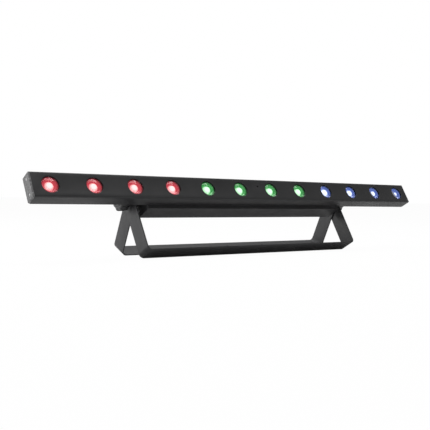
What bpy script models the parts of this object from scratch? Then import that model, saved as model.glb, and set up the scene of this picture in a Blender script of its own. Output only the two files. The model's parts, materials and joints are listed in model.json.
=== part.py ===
"""LED strip batten: a one metre lamp bar with twelve lenses, a driver housing behind it, and two
nested U-shaped yokes that share one pair of clamped pivots and splay apart into a floor stand.

Frame: +X along the bar, -Y towards the audience, +Z up, floor at Z = 0, origin under the middle.
The lamp is drawn level, with its pivot at the origin, and an empty tilts it into place.
"""
import math

import bmesh
import bpy

# ---- driving dimensions, in metres and degrees ---------------------------------------------
BAR_LENGTH = 1.000
BAR_HEIGHT = 0.0495
BAR_DEPTH = 0.026
BAR_WALL = 0.0018
BAR_CORNER = 0.003
REAR_COVER_THICKNESS = 0.0014
END_CAP_THICKNESS = 0.003

LENS_COUNT = 12
LENS_PITCH = 0.0843
LENS_RADIUS = 0.0156
LENS_HOLE_RADIUS = 0.0162
LENS_REAR = 0.0050
LENS_RIM = 0.0022
LENS_PROUD = 0.0020

HOUSING_LENGTH = 0.525
HOUSING_HEIGHT = 0.063
HOUSING_BACK = 0.0675
HOUSING_WALL = 0.0015
HOUSING_CORNER = 0.004
HOUSING_END = 0.002
HOUSING_LIP_LAP = 0.004

TILT = 30.0
PIVOT_DEPTH = 0.0549
STUD_RADIUS = 0.004
STUD_HEAD_RADIUS = 0.0075
STUD_HEAD_LENGTH = 0.004
SPACER_RADIUS = 0.012
SPACER_LENGTH = 0.0131
WASHER_RADIUS = 0.010
WASHER_LENGTH = 0.0012

YOKE_WIDTH = 0.0358
YOKE_THICKNESS = 0.0025
YOKE_BEND = 0.010
FRONT_YOKE_RADIUS = 0.1135
FRONT_YOKE_SPLAY = 30.4
SWING_CLEARANCE = 0.0004
CLAMP_HOLE_RADIUS = 0.0032
CLAMP_HOLE_SPACING = 0.100

KNOB_RADIUS = 0.020
KNOB_LENGTH = 0.0225
KNOB_LOBES = 8
KNOB_LOBE_DEPTH = 0.07
KNOB_END_WALL = 0.005
STUD_SHORT_OF_KNOB = 0.006

SOCKET_X = (-0.205, -0.155, 0.155, 0.205)
SOCKET_FLANGE = 0.027
SOCKET_BODY_RADIUS = 0.0115
SOCKET_CAVITY_RADIUS = 0.0092
SOCKET_DEPTH = 0.018
SOCKET_CAVITY_DEPTH = 0.013
BUTTON_X = (0.012, 0.026, 0.040, 0.054)
BUTTON_RADIUS = 0.0035
DISPLAY_X = -0.022
DISPLAY_SIZE = (0.042, 0.016)

GAP = 0.0003
OVERRUN = 0.002
ROUND = 24

# ---- places worked out from them -------------------------------------------------------------
HOUSING_END_X = HOUSING_LENGTH / 2
BACK_YOKE_OUTER_X = HOUSING_END_X + 2 * GAP + SPACER_LENGTH + YOKE_THICKNESS
FRONT_YOKE_OUTER_X = BACK_YOKE_OUTER_X + GAP + YOKE_THICKNESS
FRONT_YOKE_INSIDE = FRONT_YOKE_RADIUS - YOKE_THICKNESS
# The back crossbar's long edges reach farthest from the pivot, and they swing past the front one.
BACK_YOKE_EDGE = FRONT_YOKE_INSIDE - SWING_CLEARANCE
BACK_YOKE_RADIUS = math.sqrt(BACK_YOKE_EDGE ** 2 - (YOKE_WIDTH / 2) ** 2)


def stand_height(radius, splay):
    """Height of the pivot over the lowest edge of a crossbar."""
    return radius * math.cos(splay) + YOKE_WIDTH / 2 * math.sin(splay)


def foot_reach(radius, splay):
    """How far a crossbar's outer edge stands out from under the pivot."""
    return radius * math.sin(splay) + YOKE_WIDTH / 2 * math.cos(splay)


def matching_splay(radius, height):
    """Splay that sets a yoke of this radius down on the same floor."""
    diagonal = math.hypot(radius, YOKE_WIDTH / 2)
    return math.acos(height / diagonal) + math.atan2(YOKE_WIDTH / 2, radius)


FRONT_SPLAY = math.radians(FRONT_YOKE_SPLAY)
PIVOT_Z = stand_height(FRONT_YOKE_RADIUS, FRONT_SPLAY)
BACK_SPLAY = matching_splay(BACK_YOKE_RADIUS, PIVOT_Z)
FRONT_REACH = foot_reach(FRONT_YOKE_RADIUS, FRONT_SPLAY)
BACK_REACH = foot_reach(BACK_YOKE_RADIUS, BACK_SPLAY)
PIVOT_Y = (FRONT_REACH - BACK_REACH) / 2


# ---- materials ---------------------------------------------------------------------------------
def material(name, color, roughness, metallic=0.0):
    made = bpy.data.materials.new(name)
    made.use_nodes = True
    shader = made.node_tree.nodes["Principled BSDF"]
    shader.inputs["Base Color"].default_value = (*color, 1.0)
    shader.inputs["Roughness"].default_value = roughness
    shader.inputs["Metallic"].default_value = metallic
    return made


FINISHES = {
    "black_paint": ((0.025, 0.025, 0.027), 0.48, 0.0),
    "grey_paint": ((0.060, 0.060, 0.062), 0.50, 0.0),
    "black_plastic": ((0.012, 0.012, 0.013), 0.45, 0.0),
    "rubber": ((0.018, 0.018, 0.018), 0.85, 0.0),
    "bright_steel": ((0.62, 0.62, 0.63), 0.32, 1.0),
    "aluminium": ((0.70, 0.70, 0.72), 0.40, 1.0),
    "brass": ((0.72, 0.55, 0.27), 0.30, 1.0),
    "circuit_board": ((0.030, 0.160, 0.070), 0.40, 0.0),
    "lens_red": ((0.75, 0.05, 0.08), 0.08, 0.0),
    "lens_green": ((0.05, 0.50, 0.15), 0.08, 0.0),
    "lens_blue": ((0.06, 0.16, 0.70), 0.08, 0.0),
    "smoked_window": ((0.020, 0.010, 0.012), 0.10, 0.0),
    "display_glass": ((0.010, 0.018, 0.030), 0.08, 0.0),
}


# ---- drawing helpers -----------------------------------------------------------------------------
def tidy(mesh):
    """Weld the seams of a drawn body and turn its faces outwards."""
    bmesh.ops.remove_doubles(mesh, verts=mesh.verts, dist=1e-6)
    bmesh.ops.recalc_face_normals(mesh, faces=mesh.faces)


def node(name, bodies, finish, parent, smooth=True):
    """One named sub-part, or a guide of several bodies."""
    mesh = bmesh.new()
    for body in bodies:
        body(mesh)
    tidy(mesh)
    data = bpy.data.meshes.new(name)
    mesh.to_mesh(data)
    mesh.free()
    if smooth:
        data.shade_smooth()
        data.set_sharp_from_angle(angle=math.radians(32))
    made = bpy.data.objects.new(name, data)
    bpy.context.scene.collection.objects.link(made)
    made.parent = parent
    color, roughness, metallic = FINISHES[finish]
    data.materials.append(material(f"{name}_{finish}", color, roughness, metallic))
    return made


def loft(mesh, sections):
    """A closed body through rings of equally many points, capped at both ends."""
    rings = [[mesh.verts.new(point) for point in section] for section in sections]
    for ring, following in zip(rings, rings[1:]):
        for index in range(len(ring)):
            after = (index + 1) % len(ring)
            mesh.faces.new((ring[index], ring[after], following[after], following[index]))
    mesh.faces.new(rings[0])
    mesh.faces.new(rings[-1])


def prism_x(outline, start, end):
    """An outline of (y, z) points run along X."""
    return lambda mesh: loft(mesh, [[(x, y, z) for y, z in outline] for x in (start, end)])


def block(low, high):
    """A square-edged block between two corners."""
    outline = [(low[1], low[2]), (high[1], low[2]), (high[1], high[2]), (low[1], high[2])]
    return prism_x(outline, low[0], high[0])


def turned(center, axis, profile, sides=ROUND):
    """A body turned about X or Y: profile holds (distance along the axis, radius) pairs.

    A profile that starts and ends on radius 0 is solid, and any other closes on itself as a ring.
    """
    def place(along, radius, angle):
        across = radius * math.cos(angle)
        up = radius * math.sin(angle)
        offset = (along, across, up) if axis == "X" else (across, along, up)
        return tuple(c + o for c, o in zip(center, offset))

    def draw(mesh):
        solid = profile[0][1] == 0.0
        points = profile[1:-1] if solid else profile
        angles = [2 * math.pi * index / sides for index in range(sides)]
        rings = [[mesh.verts.new(place(a, r, angle)) for angle in angles] for a, r in points]
        pairs = list(zip(rings, rings[1:]))
        if not solid:
            pairs.append((rings[-1], rings[0]))
        for ring, following in pairs:
            for index in range(sides):
                after = (index + 1) % sides
                mesh.faces.new((ring[index], ring[after], following[after], following[index]))
        if solid:
            mesh.faces.new(rings[0])
            mesh.faces.new(rings[-1])
    return draw


def cylinder(center, axis, radius, start, end, sides=ROUND):
    return turned(center, axis, [(start, 0.0), (start, radius), (end, radius), (end, 0.0)], sides)


def ring(center, axis, inner, outer, start, end, sides=ROUND):
    return turned(center, axis, [(start, inner), (start, outer), (end, outer), (end, inner)], sides)


def rounded_box(low, high, corners, steps=4):
    """Outline of a (y, z) rectangle; corners holds the four radii from low-low, anticlockwise."""
    places = ((low[0], low[1], 1, 1), (high[0], low[1], -1, 1),
              (high[0], high[1], -1, -1), (low[0], high[1], 1, -1))
    points = []
    for number, ((y, z, side_y, side_z), radius) in enumerate(zip(places, corners)):
        if radius == 0.0:
            points.append((y, z))
            continue
        for step in range(steps + 1):
            angle = math.pi + math.pi / 2 * (number + step / steps)
            points.append((y + side_y * radius + radius * math.cos(angle),
                           z + side_z * radius + radius * math.sin(angle)))
    return points


def combine(target, bodies, operation):
    """Work some bodies into a node with one Boolean, drawn as a hidden guide."""
    guide = node(f"{target.name}_{operation.lower()}", bodies, "black_paint", target.parent, False)
    guide.hide_render = True
    guide.display_type = "WIRE"
    boolean = target.modifiers.new(operation.lower(), "BOOLEAN")
    boolean.operation = operation
    boolean.solver = "EXACT"
    boolean.object = guide


def cut(target, bodies):
    combine(target, bodies, "DIFFERENCE")


def fuse(target, bodies):
    combine(target, bodies, "UNION")


def carrier(name, parent, location=(0.0, 0.0, 0.0), rotation=(0.0, 0.0, 0.0)):
    """An empty on a joint's axis, which its moving piece hangs from."""
    made = bpy.data.objects.new(name, None)
    bpy.context.scene.collection.objects.link(made)
    made.parent = parent
    made.location = location
    made.rotation_euler = rotation
    return made


def depth(behind_face):
    """Lamp Y of a point this far behind the bar's front face."""
    return behind_face - PIVOT_DEPTH


def lens_places():
    return [(index - (LENS_COUNT - 1) / 2) * LENS_PITCH for index in range(LENS_COUNT)]


# ---- the lamp bar ----------------------------------------------------------------------------------
CHANNEL_BACK = BAR_DEPTH - REAR_COVER_THICKNESS - GAP
SENSOR_PLACE = (0.0056, 0.0074)
SENSOR_RADIUS = 0.0018
SENSOR_DEPTH = (0.0001, 0.004)
CAP_SCREW_Z = 0.015
CAP_SCREW_DEPTH = 0.013
CAP_REAR_CORNER = 0.001
SCREW_HEAD_RADIUS = 0.0028
SCREW_HEAD_LENGTH = 0.0014
SCREW_SHANK_RADIUS = 0.0014
SCREW_LENGTH = 0.011
SCREW_SUNK = 0.0001


def channel_section():
    """Section of the front channel: a U that opens towards the back."""
    half = BAR_HEIGHT / 2
    outer = rounded_box((depth(0), -half), (depth(CHANNEL_BACK), half),
                        (BAR_CORNER, 0.0, 0.0, BAR_CORNER))
    inner_half = half - BAR_WALL
    inner_corner = BAR_CORNER - BAR_WALL
    inner = rounded_box((depth(BAR_WALL), -inner_half), (depth(CHANNEL_BACK), inner_half),
                        (inner_corner, 0.0, 0.0, inner_corner))
    split = len(inner) // 2
    lower, upper = inner[:split], inner[split:]
    outer_split = len(outer) // 2
    return outer[outer_split:] + outer[:outer_split] + list(reversed(lower)) + list(reversed(upper))


def build_channel(lamp):
    run = BAR_LENGTH / 2 - END_CAP_THICKNESS - GAP
    channel = node("front_channel", [prism_x(channel_section(), -run, run)], "black_paint", lamp)
    front = depth(0) - OVERRUN
    inside = depth(BAR_WALL) + OVERRUN
    holes = [cylinder((x, 0, 0), "Y", LENS_HOLE_RADIUS, front, inside) for x in lens_places()]
    sensor_x, sensor_z = SENSOR_PLACE
    holes.append(cylinder((sensor_x, 0, sensor_z), "Y", SENSOR_RADIUS + GAP, front, inside, 12))
    cut(channel, holes)
    face, rear = (depth(behind) for behind in SENSOR_DEPTH)
    window = cylinder((sensor_x, 0, sensor_z), "Y", SENSOR_RADIUS, face, rear, 12)
    node("sensor_window", [window], "smoked_window", lamp)

    half = BAR_HEIGHT / 2
    low = (depth(BAR_DEPTH - REAR_COVER_THICKNESS), -half)
    cover = rounded_box(low, (depth(BAR_DEPTH), half), (0.0, 0.0, 0.0, 0.0))
    node("rear_cover", [prism_x(cover, -run, run)], "black_paint", lamp)


def build_end_caps(lamp):
    half = BAR_HEIGHT / 2
    outline = rounded_box((depth(0), -half), (depth(BAR_DEPTH), half),
                          (BAR_CORNER, CAP_REAR_CORNER, CAP_REAR_CORNER, BAR_CORNER))
    head, shank = SCREW_HEAD_RADIUS, SCREW_SHANK_RADIUS
    for name, side in (("left", -1), ("right", 1)):
        outside = side * BAR_LENGTH / 2
        inside = outside - side * END_CAP_THICKNESS
        cap = node(f"end_cap_{name}", [prism_x(outline, inside, outside)], "grey_paint", lamp)
        holes = []
        for place, z in (("lower", -CAP_SCREW_Z), ("upper", CAP_SCREW_Z)):
            center = (outside, depth(CAP_SCREW_DEPTH), z)
            before, seat = side * OVERRUN, -side * (SCREW_HEAD_LENGTH + GAP)
            after = -side * (END_CAP_THICKNESS + OVERRUN)
            holes.append(turned(center, "X", [(before, 0.0), (before, head + GAP),
                                              (seat, head + GAP), (seat, shank + GAP),
                                              (after, shank + GAP), (after, 0.0)], 16))
            top, under, tip = (-side * along
                               for along in (SCREW_SUNK, SCREW_HEAD_LENGTH, SCREW_LENGTH))
            profile = [(top, 0.0), (top, head), (under, head),
                       (under, shank), (tip, shank), (tip, 0.0)]
            node(f"end_screw_{name}_{place}", [turned(center, "X", profile, 12)],
                 "bright_steel", lamp)
        cut(cap, holes)


BOARD_FRONT = 0.0160
BOARD_BACK = 0.0176
BOARD_HEIGHT = 0.037
BOARD_END_MARGIN = 0.017
RAIL_HEIGHT = 0.030
TRAY_HEIGHT = 0.035
FUNNEL_MOUTH_RADIUS = 0.0132
FUNNEL_THROAT_RADIUS = 0.0052
EMITTER_FRONT = 0.0140
EMITTER_SIZE = 0.0054


def build_light_engine(lamp):
    reach = BAR_LENGTH / 2 - BOARD_END_MARGIN

    def strip(height, front, back):
        """A full-length strip between two depths."""
        return block((-reach, depth(front), -height / 2), (reach, depth(back), height / 2))

    board_body = strip(BOARD_HEIGHT, BOARD_FRONT, BOARD_BACK)
    board = node("led_board", [board_body], "circuit_board", lamp, smooth=False)
    rail = strip(RAIL_HEIGHT, BOARD_BACK + GAP, CHANNEL_BACK - GAP)
    node("heat_sink_rail", [rail], "aluminium", lamp, smooth=False)

    half = EMITTER_SIZE / 2
    fuse(board, [block((x - half, depth(EMITTER_FRONT), -half),
                       (x + half, depth(BOARD_FRONT + GAP), half)) for x in lens_places()])

    tray_body = strip(TRAY_HEIGHT, LENS_REAR + GAP, BOARD_FRONT - GAP)
    tray = node("lens_tray", [tray_body], "black_plastic", lamp, smooth=False)
    front, back = depth(LENS_REAR + GAP), depth(BOARD_FRONT - GAP)
    mouth, throat = FUNNEL_MOUTH_RADIUS, FUNNEL_THROAT_RADIUS
    funnel = [(front - OVERRUN, 0.0), (front - OVERRUN, mouth), (front, mouth),
              (back, throat), (back + OVERRUN, throat), (back + OVERRUN, 0.0)]
    cut(tray, [turned((x, 0, 0), "Y", funnel, 16) for x in lens_places()])


def lens_profile():
    """Flat back, straight rim and a domed front that is part of a sphere."""
    rise = LENS_RIM + LENS_PROUD
    sphere = (LENS_RADIUS ** 2 + rise ** 2) / (2 * rise)
    half_angle = math.asin(LENS_RADIUS / sphere)
    steps = 5
    dome = []
    for step in range(steps):
        angle = half_angle * (1 - step / steps)
        dome.append((depth(-LENS_PROUD + sphere * (1 - math.cos(angle))), sphere * math.sin(angle)))
    back = depth(LENS_REAR)
    return [(back, 0.0), (back, LENS_RADIUS), *dome, (depth(-LENS_PROUD), 0.0)]


def build_lenses(lamp):
    tints = ("lens_red", "lens_green", "lens_blue")
    for index, x in enumerate(lens_places()):
        tint = tints[index * len(tints) // LENS_COUNT]
        node(f"lens_{index + 1:02d}", [turned((x, 0, 0), "Y", lens_profile())], tint, lamp)


# ---- the driver housing ------------------------------------------------------------------------------
HOUSING_FRONT = BAR_DEPTH + GAP


def housing_outline(inset=0.0):
    half = HOUSING_HEIGHT / 2 - inset
    corner = HOUSING_CORNER - inset
    return rounded_box((depth(HOUSING_FRONT), -half), (depth(HOUSING_BACK - inset), half),
                       (0.0, corner, corner, 0.0))


def shell_section():
    """Folded sheet: back, top and bottom, with lips turned in behind the bar's upper and lower edges."""
    lip = BAR_HEIGHT / 2 - HOUSING_LIP_LAP
    outside = depth(HOUSING_FRONT)
    inside = depth(HOUSING_FRONT + HOUSING_WALL)
    _, *inner, _ = housing_outline(HOUSING_WALL)
    wall = HOUSING_HEIGHT / 2 - HOUSING_WALL
    return [(outside, -lip), *housing_outline(), (outside, lip),
            (inside, lip), (inside, wall), *reversed(inner), (inside, -wall), (inside, -lip)]


def build_housing(lamp):
    """The shell with its panel openings, and a flat plate closing each end."""
    run = HOUSING_END_X - HOUSING_END - GAP
    shell = node("housing_shell", [prism_x(shell_section(), -run, run)], "black_paint", lamp)
    inside = depth(HOUSING_BACK - HOUSING_WALL) - OVERRUN
    outside = depth(HOUSING_BACK) + OVERRUN
    holes = [cylinder((x, 0, 0), "Y", SOCKET_BODY_RADIUS + GAP, inside, outside) for x in SOCKET_X]
    holes += [cylinder((x, 0, 0), "Y", BUTTON_RADIUS + GAP, inside, outside, 16) for x in BUTTON_X]
    width, height = DISPLAY_SIZE
    holes.append(block((DISPLAY_X - width / 2 - GAP, inside, -height / 2 - GAP),
                       (DISPLAY_X + width / 2 + GAP, outside, height / 2 + GAP)))
    cut(shell, holes)

    for name, side in (("left", -1), ("right", 1)):
        outer_face = side * HOUSING_END_X
        plate = prism_x(housing_outline(), outer_face - side * HOUSING_END, outer_face)
        end = node(f"housing_end_{name}", [plate], "black_paint", lamp)
        through = HOUSING_END + OVERRUN
        cut(end, [cylinder((outer_face, 0, 0), "X", STUD_RADIUS + GAP, -through, through, 16)])


SUPPLY_X = (0.075, 0.135)
SUPPLY_DEPTH = (0.0330, 0.0346)
SUPPLY_HEIGHT = 0.048
CONTROL_X = (-0.052, 0.062)
CONTROL_DEPTH = (0.0520, 0.0536)
CONTROL_HEIGHT = 0.036
TRANSFORMER_X = (0.080, 0.104)
TRANSFORMER_Z = (-0.018, 0.002)
TRANSFORMER_DEPTH = 0.016
CAPACITOR_PLACE = (0.119, -0.008)
CAPACITOR_RADIUS = 0.008
CAPACITOR_LENGTH = 0.020
DISPLAY_REAR = 0.0590
DISPLAY_SUNK = 0.0004


def board(name, span, depths, height, lamp):
    """A plain circuit board that stands parallel to the housing's back."""
    low = (span[0], depth(depths[0]), -height / 2)
    high = (span[1], depth(depths[1]), height / 2)
    node(name, [block(low, high)], "circuit_board", lamp, smooth=False)


def build_boards(lamp):
    """Power supply, its parts, and the control board behind the display and buttons."""
    board("power_supply_board", SUPPLY_X, SUPPLY_DEPTH, SUPPLY_HEIGHT, lamp)
    board("control_board", CONTROL_X, CONTROL_DEPTH, CONTROL_HEIGHT, lamp)
    above = depth(SUPPLY_DEPTH[1] + GAP)
    core = block((TRANSFORMER_X[0], above, TRANSFORMER_Z[0]),
                 (TRANSFORMER_X[1], above + TRANSFORMER_DEPTH, TRANSFORMER_Z[1]))
    node("transformer", [core], "black_plastic", lamp, smooth=False)
    x, z = CAPACITOR_PLACE
    can = cylinder((x, 0, z), "Y", CAPACITOR_RADIUS, above, above + CAPACITOR_LENGTH, 16)
    node("capacitor", [can], "black_plastic", lamp)
    width, height = DISPLAY_SIZE
    screen = block((DISPLAY_X - width / 2, depth(DISPLAY_REAR), -height / 2),
                   (DISPLAY_X + width / 2, depth(HOUSING_BACK - DISPLAY_SUNK), height / 2))
    node("display_window", [screen], "display_glass", lamp, smooth=False)


BUTTON_PROUD = 0.0016
BUTTON_REAR = 0.0590
BUTTON_FLANGE_RADIUS = 0.0048
BUTTON_EDGE = 0.0004
BUTTON_NAMES = ("menu", "up", "down", "enter")


def build_buttons(lamp):
    """Each button is a stepped plunger; its flange stops it behind the housing wall."""
    flange = HOUSING_BACK - HOUSING_WALL - GAP
    for name, x in zip(BUTTON_NAMES, BUTTON_X):
        place = carrier(f"button_{name}_axis", lamp, (x, depth(HOUSING_BACK), 0.0))
        rear = BUTTON_REAR - HOUSING_BACK
        step = flange - HOUSING_BACK
        profile = [(rear, 0.0), (rear, BUTTON_FLANGE_RADIUS), (step, BUTTON_FLANGE_RADIUS),
                   (step, BUTTON_RADIUS), (BUTTON_PROUD - BUTTON_EDGE, BUTTON_RADIUS),
                   (BUTTON_PROUD, BUTTON_RADIUS - BUTTON_EDGE), (BUTTON_PROUD, 0.0)]
        plunger = turned((0, 0, 0), "Y", profile, 16)
        node(f"button_{name}", [plunger], "rubber", place)


SOCKET_NAMES = ("power_inlet", "power_outlet", "data_inlet", "data_outlet")
FLANGE_THICKNESS = 0.002
CONTACT_CIRCLE = 0.0050
CONTACT_LENGTH = 0.0050
POWER_PIN_RADIUS = 0.0018
DATA_PIN_RADIUS = 0.0012


def build_sockets(lamp):
    """Panel sockets: a square flange outside, a round body through the wall, and an open cavity."""
    face = HOUSING_BACK + GAP
    for name, x in zip(SOCKET_NAMES, SOCKET_X):
        half = SOCKET_FLANGE / 2
        lip = FLANGE_THICKNESS
        outline = [(depth(face), -half), (depth(face + lip), -half),
                   (depth(face + lip), half), (depth(face), half)]
        flange = node(name, [prism_x(outline, x - half, x + half)], "black_plastic", lamp)
        body = cylinder((x, 0, 0), "Y", SOCKET_BODY_RADIUS, depth(face - SOCKET_DEPTH),
                        depth(face + lip / 2))
        fuse(flange, [body])
        cut(flange, [cylinder((x, 0, 0), "Y", SOCKET_CAVITY_RADIUS,
                              depth(face - SOCKET_CAVITY_DEPTH), depth(face + 2 * lip))])

    floor = depth(face - SOCKET_CAVITY_DEPTH) + GAP
    tip = floor + CONTACT_LENGTH
    for name, x, sides, radius in (("power_pin", SOCKET_X[0], 4, POWER_PIN_RADIUS),
                                   ("data_pin", SOCKET_X[2], 8, DATA_PIN_RADIUS)):
        for number in range(3):
            angle = math.radians(90 + 120 * number)
            center = (x + CONTACT_CIRCLE * math.cos(angle), 0, CONTACT_CIRCLE * math.sin(angle))
            pin = cylinder(center, "Y", radius, floor, tip, sides)
            node(f"{name}_{number + 1}", [pin], "brass", lamp, smooth=sides > 4)


# ---- pivots and knobs ----------------------------------------------------------------------------------
KNOB_INNER_X = FRONT_YOKE_OUTER_X + 2 * GAP + WASHER_LENGTH
# Distance from the knob's inner end, and its size there as a share of the full grip.
KNOB_STAGES = ((0.0, 0.62), (0.0040, 0.66), (0.0058, 0.94), (0.0080, 1.0),
               (KNOB_LENGTH - 0.0028, 1.0), (KNOB_LENGTH - 0.0009, 0.94), (KNOB_LENGTH, 0.84))


def knob_section(x, scale):
    """Lobed grip outline: a circle whose radius swells at each finger lobe."""
    count = KNOB_LOBES * 5
    points = []
    for index in range(count):
        angle = 2 * math.pi * index / count
        radius = scale * KNOB_RADIUS * (1 - KNOB_LOBE_DEPTH * (1 - math.cos(KNOB_LOBES * angle)))
        points.append((x, radius * math.cos(angle), radius * math.sin(angle)))
    return points


def build_pivots(lamp):
    for name, side in (("left", -1), ("right", 1)):
        center = (0, 0, 0)
        inner_face = HOUSING_END_X - HOUSING_END - GAP
        tip = KNOB_INNER_X + KNOB_LENGTH - STUD_SHORT_OF_KNOB
        head = inner_face - STUD_HEAD_LENGTH
        profile = [(head, 0.0), (head, STUD_HEAD_RADIUS), (inner_face, STUD_HEAD_RADIUS),
                   (inner_face, STUD_RADIUS), (tip, STUD_RADIUS), (tip, 0.0)]
        mirrored = [(side * along, radius) for along, radius in profile]
        node(f"pivot_stud_{name}", [turned(center, "X", mirrored, 16)], "bright_steel", lamp)

        start = HOUSING_END_X + GAP
        spacer = ring(center, "X", STUD_RADIUS + GAP, SPACER_RADIUS,
                      side * start, side * (start + SPACER_LENGTH))
        node(f"friction_spacer_{name}", [spacer], "rubber", lamp)
        start = FRONT_YOKE_OUTER_X + GAP
        washer = ring(center, "X", STUD_RADIUS + GAP, WASHER_RADIUS,
                      side * start, side * (start + WASHER_LENGTH))
        node(f"washer_{name}", [washer], "bright_steel", lamp)

        place = carrier(f"knob_{name}_axis", lamp)
        sections = [knob_section(side * (KNOB_INNER_X + along), scale)
                    for along, scale in KNOB_STAGES]
        knob = node(f"knob_{name}", [lambda mesh, rings=sections: loft(mesh, rings)],
                    "black_plastic", place)
        bore_start = KNOB_INNER_X - OVERRUN
        bore_end = KNOB_INNER_X + KNOB_LENGTH - KNOB_END_WALL
        cut(knob, [cylinder(center, "X", STUD_RADIUS + GAP, side * bore_start,
                            side * bore_end, 16)])


# ---- the two yokes -----------------------------------------------------------------------------------------
ROUND_TOP_STEPS = (78, 66, 54, 42, 30, 18, 8)


def yoke_stations(outer_x, radius):
    """Path of the bent strip as (outer x, outer z, inner x, inner z, half width) stations.

    It starts at the round top of the right limb and ends at the middle of the crossbar.
    """
    inner_x = outer_x - YOKE_THICKNESS
    half = YOKE_WIDTH / 2
    stations = []
    for degrees in ROUND_TOP_STEPS:
        angle = math.radians(degrees)
        z = half * math.sin(angle)
        stations.append((outer_x, z, inner_x, z, half * math.cos(angle)))
    stations.append((outer_x, 0.0, inner_x, 0.0, half))
    center_x, center_z = outer_x - YOKE_BEND, -radius + YOKE_BEND
    inner_bend = YOKE_BEND - YOKE_THICKNESS
    steps = 6
    for step in range(steps + 1):
        angle = math.pi / 2 * step / steps
        across, down = math.cos(angle), math.sin(angle)
        stations.append((center_x + YOKE_BEND * across, center_z - YOKE_BEND * down,
                         center_x + inner_bend * across, center_z - inner_bend * down, half))
    return stations


def build_yoke(name, outer_x, radius, splay):
    """One strip bent into a U. Its carrier sits on the pivot and leans it forwards or backwards."""
    right = yoke_stations(outer_x, radius)
    left = [(-a, b, -c, d, half) for a, b, c, d, half in reversed(right)]
    sections = [[(a, -half, b), (a, half, b), (c, half, d), (c, -half, d)]
                for a, b, c, d, half in right + left]
    place = carrier(f"{name}_axis", None, (0.0, PIVOT_Y, PIVOT_Z), (splay, 0.0, 0.0))
    yoke = node(name, [lambda mesh: loft(mesh, sections)], "black_paint", place)

    through = YOKE_THICKNESS + OVERRUN
    holes = [cylinder((side * outer_x, 0, 0), "X", STUD_RADIUS + GAP, -through, through, 16)
             for side in (-1, 1)]
    for count in (-1, 0, 1):
        x = count * CLAMP_HOLE_SPACING
        holes.append(vertical_drill(x, CLAMP_HOLE_RADIUS, -radius - OVERRUN, -radius + through))
    cut(yoke, holes)


def vertical_drill(x, radius, bottom, top, sides=16):
    def draw(mesh):
        angles = [2 * math.pi * index / sides for index in range(sides)]
        loft(mesh, [[(x + radius * math.cos(a), radius * math.sin(a), z) for a in angles]
                    for z in (bottom, top)])
    return draw


# ---- assembly ----------------------------------------------------------------------------------------------
def build():
    for old in list(bpy.data.objects):
        bpy.data.objects.remove(old, do_unlink=True)
    lamp = carrier("lamp_axis", None, (0.0, PIVOT_Y, PIVOT_Z), (math.radians(-TILT), 0.0, 0.0))
    build_channel(lamp)
    build_end_caps(lamp)
    build_light_engine(lamp)
    build_lenses(lamp)
    build_housing(lamp)
    build_boards(lamp)
    build_buttons(lamp)
    build_sockets(lamp)
    build_pivots(lamp)
    build_yoke("front_yoke", FRONT_YOKE_OUTER_X, FRONT_YOKE_RADIUS, -FRONT_SPLAY)
    build_yoke("back_yoke", BACK_YOKE_OUTER_X, BACK_YOKE_RADIUS, BACK_SPLAY)


build()
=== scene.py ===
"""Looks for the LED strip batten: finishes, finer outer pieces, studio and camera.

Frame: metres, +X along the bar, -Y towards the audience, +Z up, floor at Z = 0.
Pieces of the lamp are drawn level, in the lamp's own frame, and LAMP tilts them into place.
"""
import json
import math

import bmesh
import bpy
from mathutils import Matrix, Vector


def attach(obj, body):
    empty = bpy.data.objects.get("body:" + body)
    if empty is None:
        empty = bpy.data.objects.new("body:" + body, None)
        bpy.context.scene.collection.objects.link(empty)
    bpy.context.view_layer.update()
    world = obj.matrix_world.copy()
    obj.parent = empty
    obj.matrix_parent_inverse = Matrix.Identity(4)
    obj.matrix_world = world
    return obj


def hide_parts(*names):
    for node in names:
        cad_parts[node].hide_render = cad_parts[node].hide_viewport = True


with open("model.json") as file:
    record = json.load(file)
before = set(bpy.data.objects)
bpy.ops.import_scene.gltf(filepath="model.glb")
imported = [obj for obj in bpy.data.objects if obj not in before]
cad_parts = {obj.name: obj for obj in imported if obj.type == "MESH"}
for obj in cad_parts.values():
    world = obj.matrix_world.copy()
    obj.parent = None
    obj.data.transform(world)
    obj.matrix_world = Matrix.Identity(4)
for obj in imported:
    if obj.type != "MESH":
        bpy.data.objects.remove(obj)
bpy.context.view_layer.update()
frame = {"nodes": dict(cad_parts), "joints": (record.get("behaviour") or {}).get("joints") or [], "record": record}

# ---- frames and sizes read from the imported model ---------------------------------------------
JOINTS = {joint["name"]: joint for joint in frame["joints"]}
MOUNTS = {mount["name"]: mount for mount in frame["record"]["mounts"]}
PIVOT = Vector(JOINTS["lamp_tilt"]["pos_m"])
PRESS = Vector(JOINTS["button_menu_press"]["axis"])
LAMP = Matrix.Translation(PIVOT) @ Matrix.Rotation(-math.atan2(PRESS.z, -PRESS.y), 4, "X")


def yoke_frame(mount):
    """Frame of a yoke, on the pivot: its crossbar's outer face looks along -Z."""
    out = Vector(MOUNTS[mount]["axis"])
    return Matrix.Translation(PIVOT) @ Matrix.Rotation(math.atan2(out.y, -out.z), 4, "X")


def local_box(node, place=LAMP):
    """Lowest and highest corner of a CAD node in a tilted frame."""
    inverse = place.inverted()
    points = [inverse @ vertex.co for vertex in frame["nodes"][node].data.vertices]
    low = Vector([min(point[axis] for point in points) for axis in range(3)])
    high = Vector([max(point[axis] for point in points) for axis in range(3)])
    return low, high


def middle_of(node):
    """Middle of a CAD node's box, in the lamp's frame."""
    low, high = local_box(node)
    return (low + high) / 2


def half_width(node):
    """Half of a CAD node's size along the bar."""
    low, high = local_box(node)
    return (high.x - low.x) / 2


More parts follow.
